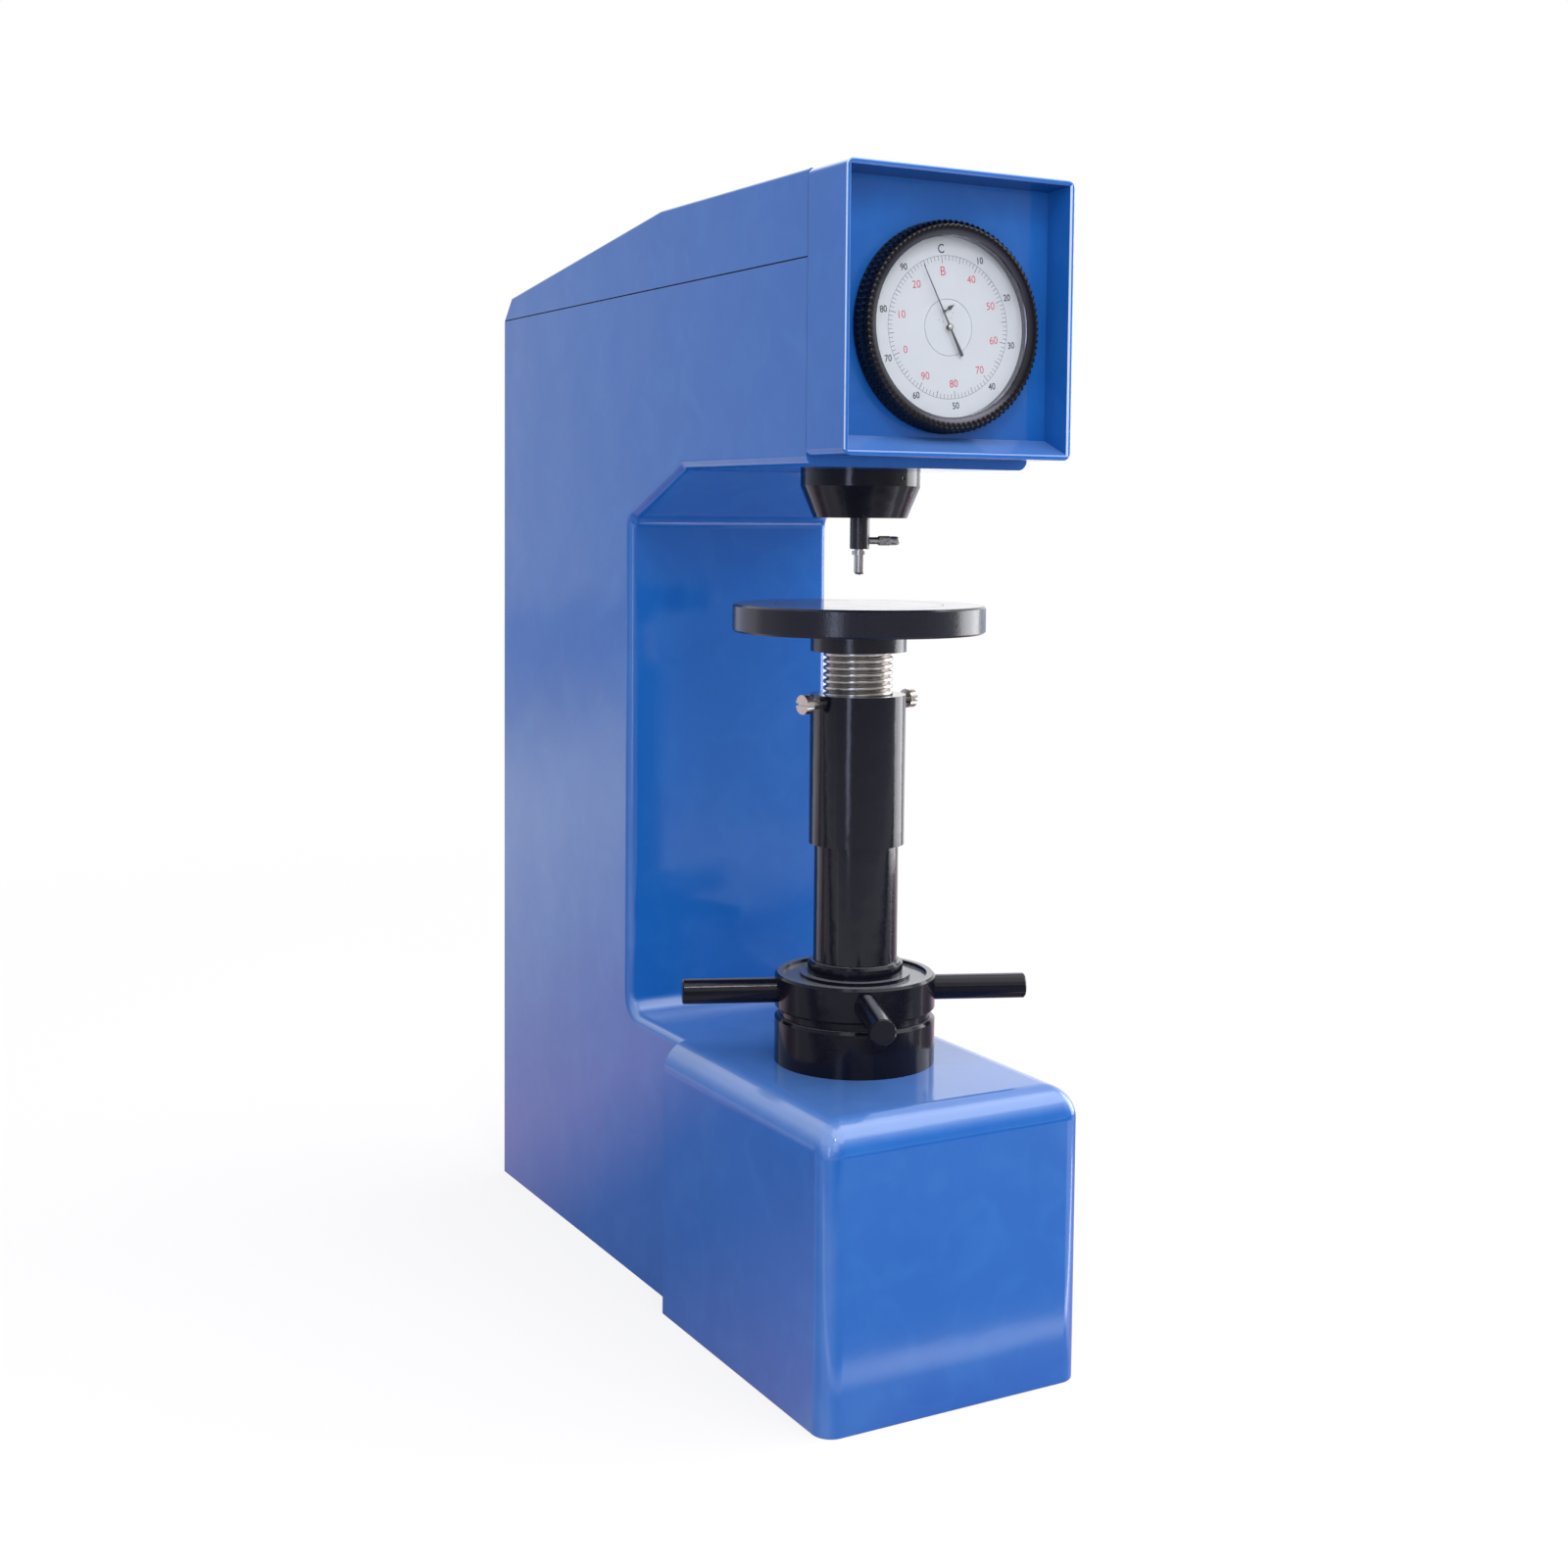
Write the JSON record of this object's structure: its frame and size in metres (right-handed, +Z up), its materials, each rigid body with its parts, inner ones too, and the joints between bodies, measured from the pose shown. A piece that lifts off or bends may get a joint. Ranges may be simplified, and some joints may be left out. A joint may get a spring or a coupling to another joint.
{
  "type": "hardness tester",
  "caption": "Bench hardness tester with a C-shaped cast frame, recessed dial gauge, spindle with indenter, round anvil on an elevating screw and a handwheel with bars.",
  "frame": {"origin": "on the foot plane, on the vertical axis shared by the elevating screw and the spindle", "axes": "+X across the machine to the operator's right, -Y towards the operator and the dial, +Z up"},
  "size_m": [0.2246, 0.5017, 0.6841],
  "materials": {
    "blue_enamel": "gloss",
    "black_enamel": "gloss",
    "black_plastic": "gloss",
    "ground_steel": "satin",
    "plated_steel": "gloss",
    "bronze": "satin",
    "cast_iron": "matte",
    "dial_enamel": "satin",
    "pointer_black": "matte",
    "clear_glass": "gloss"
  },
  "bodies": {
    "frame": {"frame_casting": "blue_enamel", "top_cover": "blue_enamel", "dial_hood": "blue_enamel", "rear_cover": "blue_enamel", "rear_cover_screws": "plated_steel", "nose_cone": "black_enamel", "spindle_bush": "bronze", "screw_collar": "black_enamel", "screw_guide_bush": "bronze", "bearing_lower_race": "ground_steel", "fulcrum_blocks": "black_enamel", "gauge_case": "plated_steel", "dial_centre": "dial_enamel", "dashpot_cylinder": "cast_iron", "dashpot_cap": "cast_iron", "dashpot_bracket": "black_enamel", "load_shaft_bush": "bronze", "selector_bush": "bronze"},
    "handwheel": {"handwheel_hub": "black_enamel", "handwheel_bars": "black_enamel", "screw_nut": "bronze", "lower_tube": "black_enamel", "bearing_upper_race": "ground_steel"},
    "bearing_roll": {"bearing_balls": "ground_steel"},
    "screw": {"elevating_screw": "ground_steel", "upper_tube": "black_enamel", "clamp_screws": "plated_steel", "anvil": "black_enamel"},
    "spindle": {"spindle": "black_enamel", "indenter_body": "ground_steel", "indenter_cap": "ground_steel", "indenter_ball": "ground_steel", "thumb_screw": "plated_steel"},
    "lever": {"main_lever": "cast_iron", "fulcrum_knife": "ground_steel", "load_knife": "ground_steel", "hanger_knife": "ground_steel", "poise_weight": "cast_iron"},
    "weights": {"hanger": "cast_iron", "weight_lower": "cast_iron", "weight_middle": "cast_iron", "weight_upper": "cast_iron"},
    "bezel": {"bezel": "black_plastic", "dial_ring": "dial_enamel", "dial_glass": "clear_glass"},
    "pointer": {"pointer": "pointer_black"},
    "small_pointer": {"small_pointer": "pointer_black"},
    "plunger": {"gauge_plunger": "ground_steel"},
    "load_lever": {"load_lever": "plated_steel", "load_knob": "black_plastic", "load_shaft": "ground_steel", "load_cam": "ground_steel"},
    "lift_rod": {"lift_rod": "ground_steel", "dashpot_piston": "ground_steel"},
    "selector": {"selector_knob": "black_plastic", "selector_shaft": "ground_steel", "selector_cam": "ground_steel"}
  },
  "joints": [
    {"name": "handwheel_turn", "type": "hinge", "parent": "frame", "child": "handwheel", "pos_m": [0, 0, 0.2145], "axis": [0, 0, 1], "range_deg": [-1485, 5310]},
    {"name": "screw_lift", "type": "slide", "parent": "frame", "child": "screw", "axis": [0, 0, 1], "range_m": [-0.05905, 0.01655]},
    {"name": "bearing_turn", "type": "hinge", "parent": "frame", "child": "bearing_roll", "pos_m": [0, 0, 0.1842], "axis": [0, 0, 1], "range_deg": [-743.5, 2656]},
    {"name": "lever_tilt", "type": "hinge", "parent": "frame", "child": "lever", "pos_m": [0, -0.016, 0.556], "axis": [1, 0, 0], "range_deg": [0, 2.15]},
    {"name": "spindle_lift", "type": "slide", "parent": "frame", "child": "spindle", "axis": [0, 0, 1], "range_m": [0, 0.00061]},
    {"name": "weights_lift", "type": "slide", "parent": "frame", "child": "weights", "axis": [0, 0, 1], "range_m": [0, 0.0121]},
    {"name": "plunger_drop", "type": "slide", "parent": "frame", "child": "plunger", "axis": [0, 0, -1], "range_m": [0, 0.0022]},
    {"name": "pointer_turn", "type": "hinge", "parent": "frame", "child": "pointer", "pos_m": [0, -0.0905, 0.6002], "axis": [0, 1, 0], "range_deg": [0, 1082]},
    {"name": "small_pointer_turn", "type": "hinge", "parent": "frame", "child": "small_pointer", "pos_m": [-0.003, -0.0905, 0.6088], "axis": [0, 1, 0], "range_deg": [0, 91]},
    {"name": "bezel_turn", "type": "hinge", "parent": "frame", "child": "bezel", "pos_m": [0, -0.0905, 0.6002], "axis": [0, 1, 0], "continuous": true},
    {"name": "load_lever_turn", "type": "hinge", "parent": "frame", "child": "load_lever", "pos_m": [0.088, 0.205, 0.12], "axis": [-1, 0, 0], "range_deg": [0, 60]},
    {"name": "lift_rod_drop", "type": "slide", "parent": "frame", "child": "lift_rod", "axis": [0, 0, -1], "range_m": [0, 0.01205]},
    {"name": "force_selector_turn", "type": "hinge", "parent": "frame", "child": "selector", "pos_m": [0.091, 0.304, 0.31], "axis": [1, 0, 0], "range_deg": [0, 240]}
  ],
  "couplings": [
    {"joint": "screw_lift", "follows": "handwheel_turn", "m_per_rad": -0.00063662},
    {"joint": "bearing_turn", "follows": "handwheel_turn", "ratio": 0.5},
    {"joint": "spindle_lift", "follows": "lever_tilt", "m_per_rad": 0.016},
    {"joint": "weights_lift", "follows": "lever_tilt", "m_per_rad": 0.32},
    {"joint": "plunger_drop", "follows": "lever_tilt", "m_per_rad": 0.0575},
    {"joint": "pointer_turn", "follows": "lever_tilt", "ratio": 502.65},
    {"joint": "small_pointer_turn", "follows": "lever_tilt", "ratio": 41.89},
    {"joint": "lift_rod_drop", "follows": "load_lever_turn", "m_per_rad": 0.011459}
  ]
}
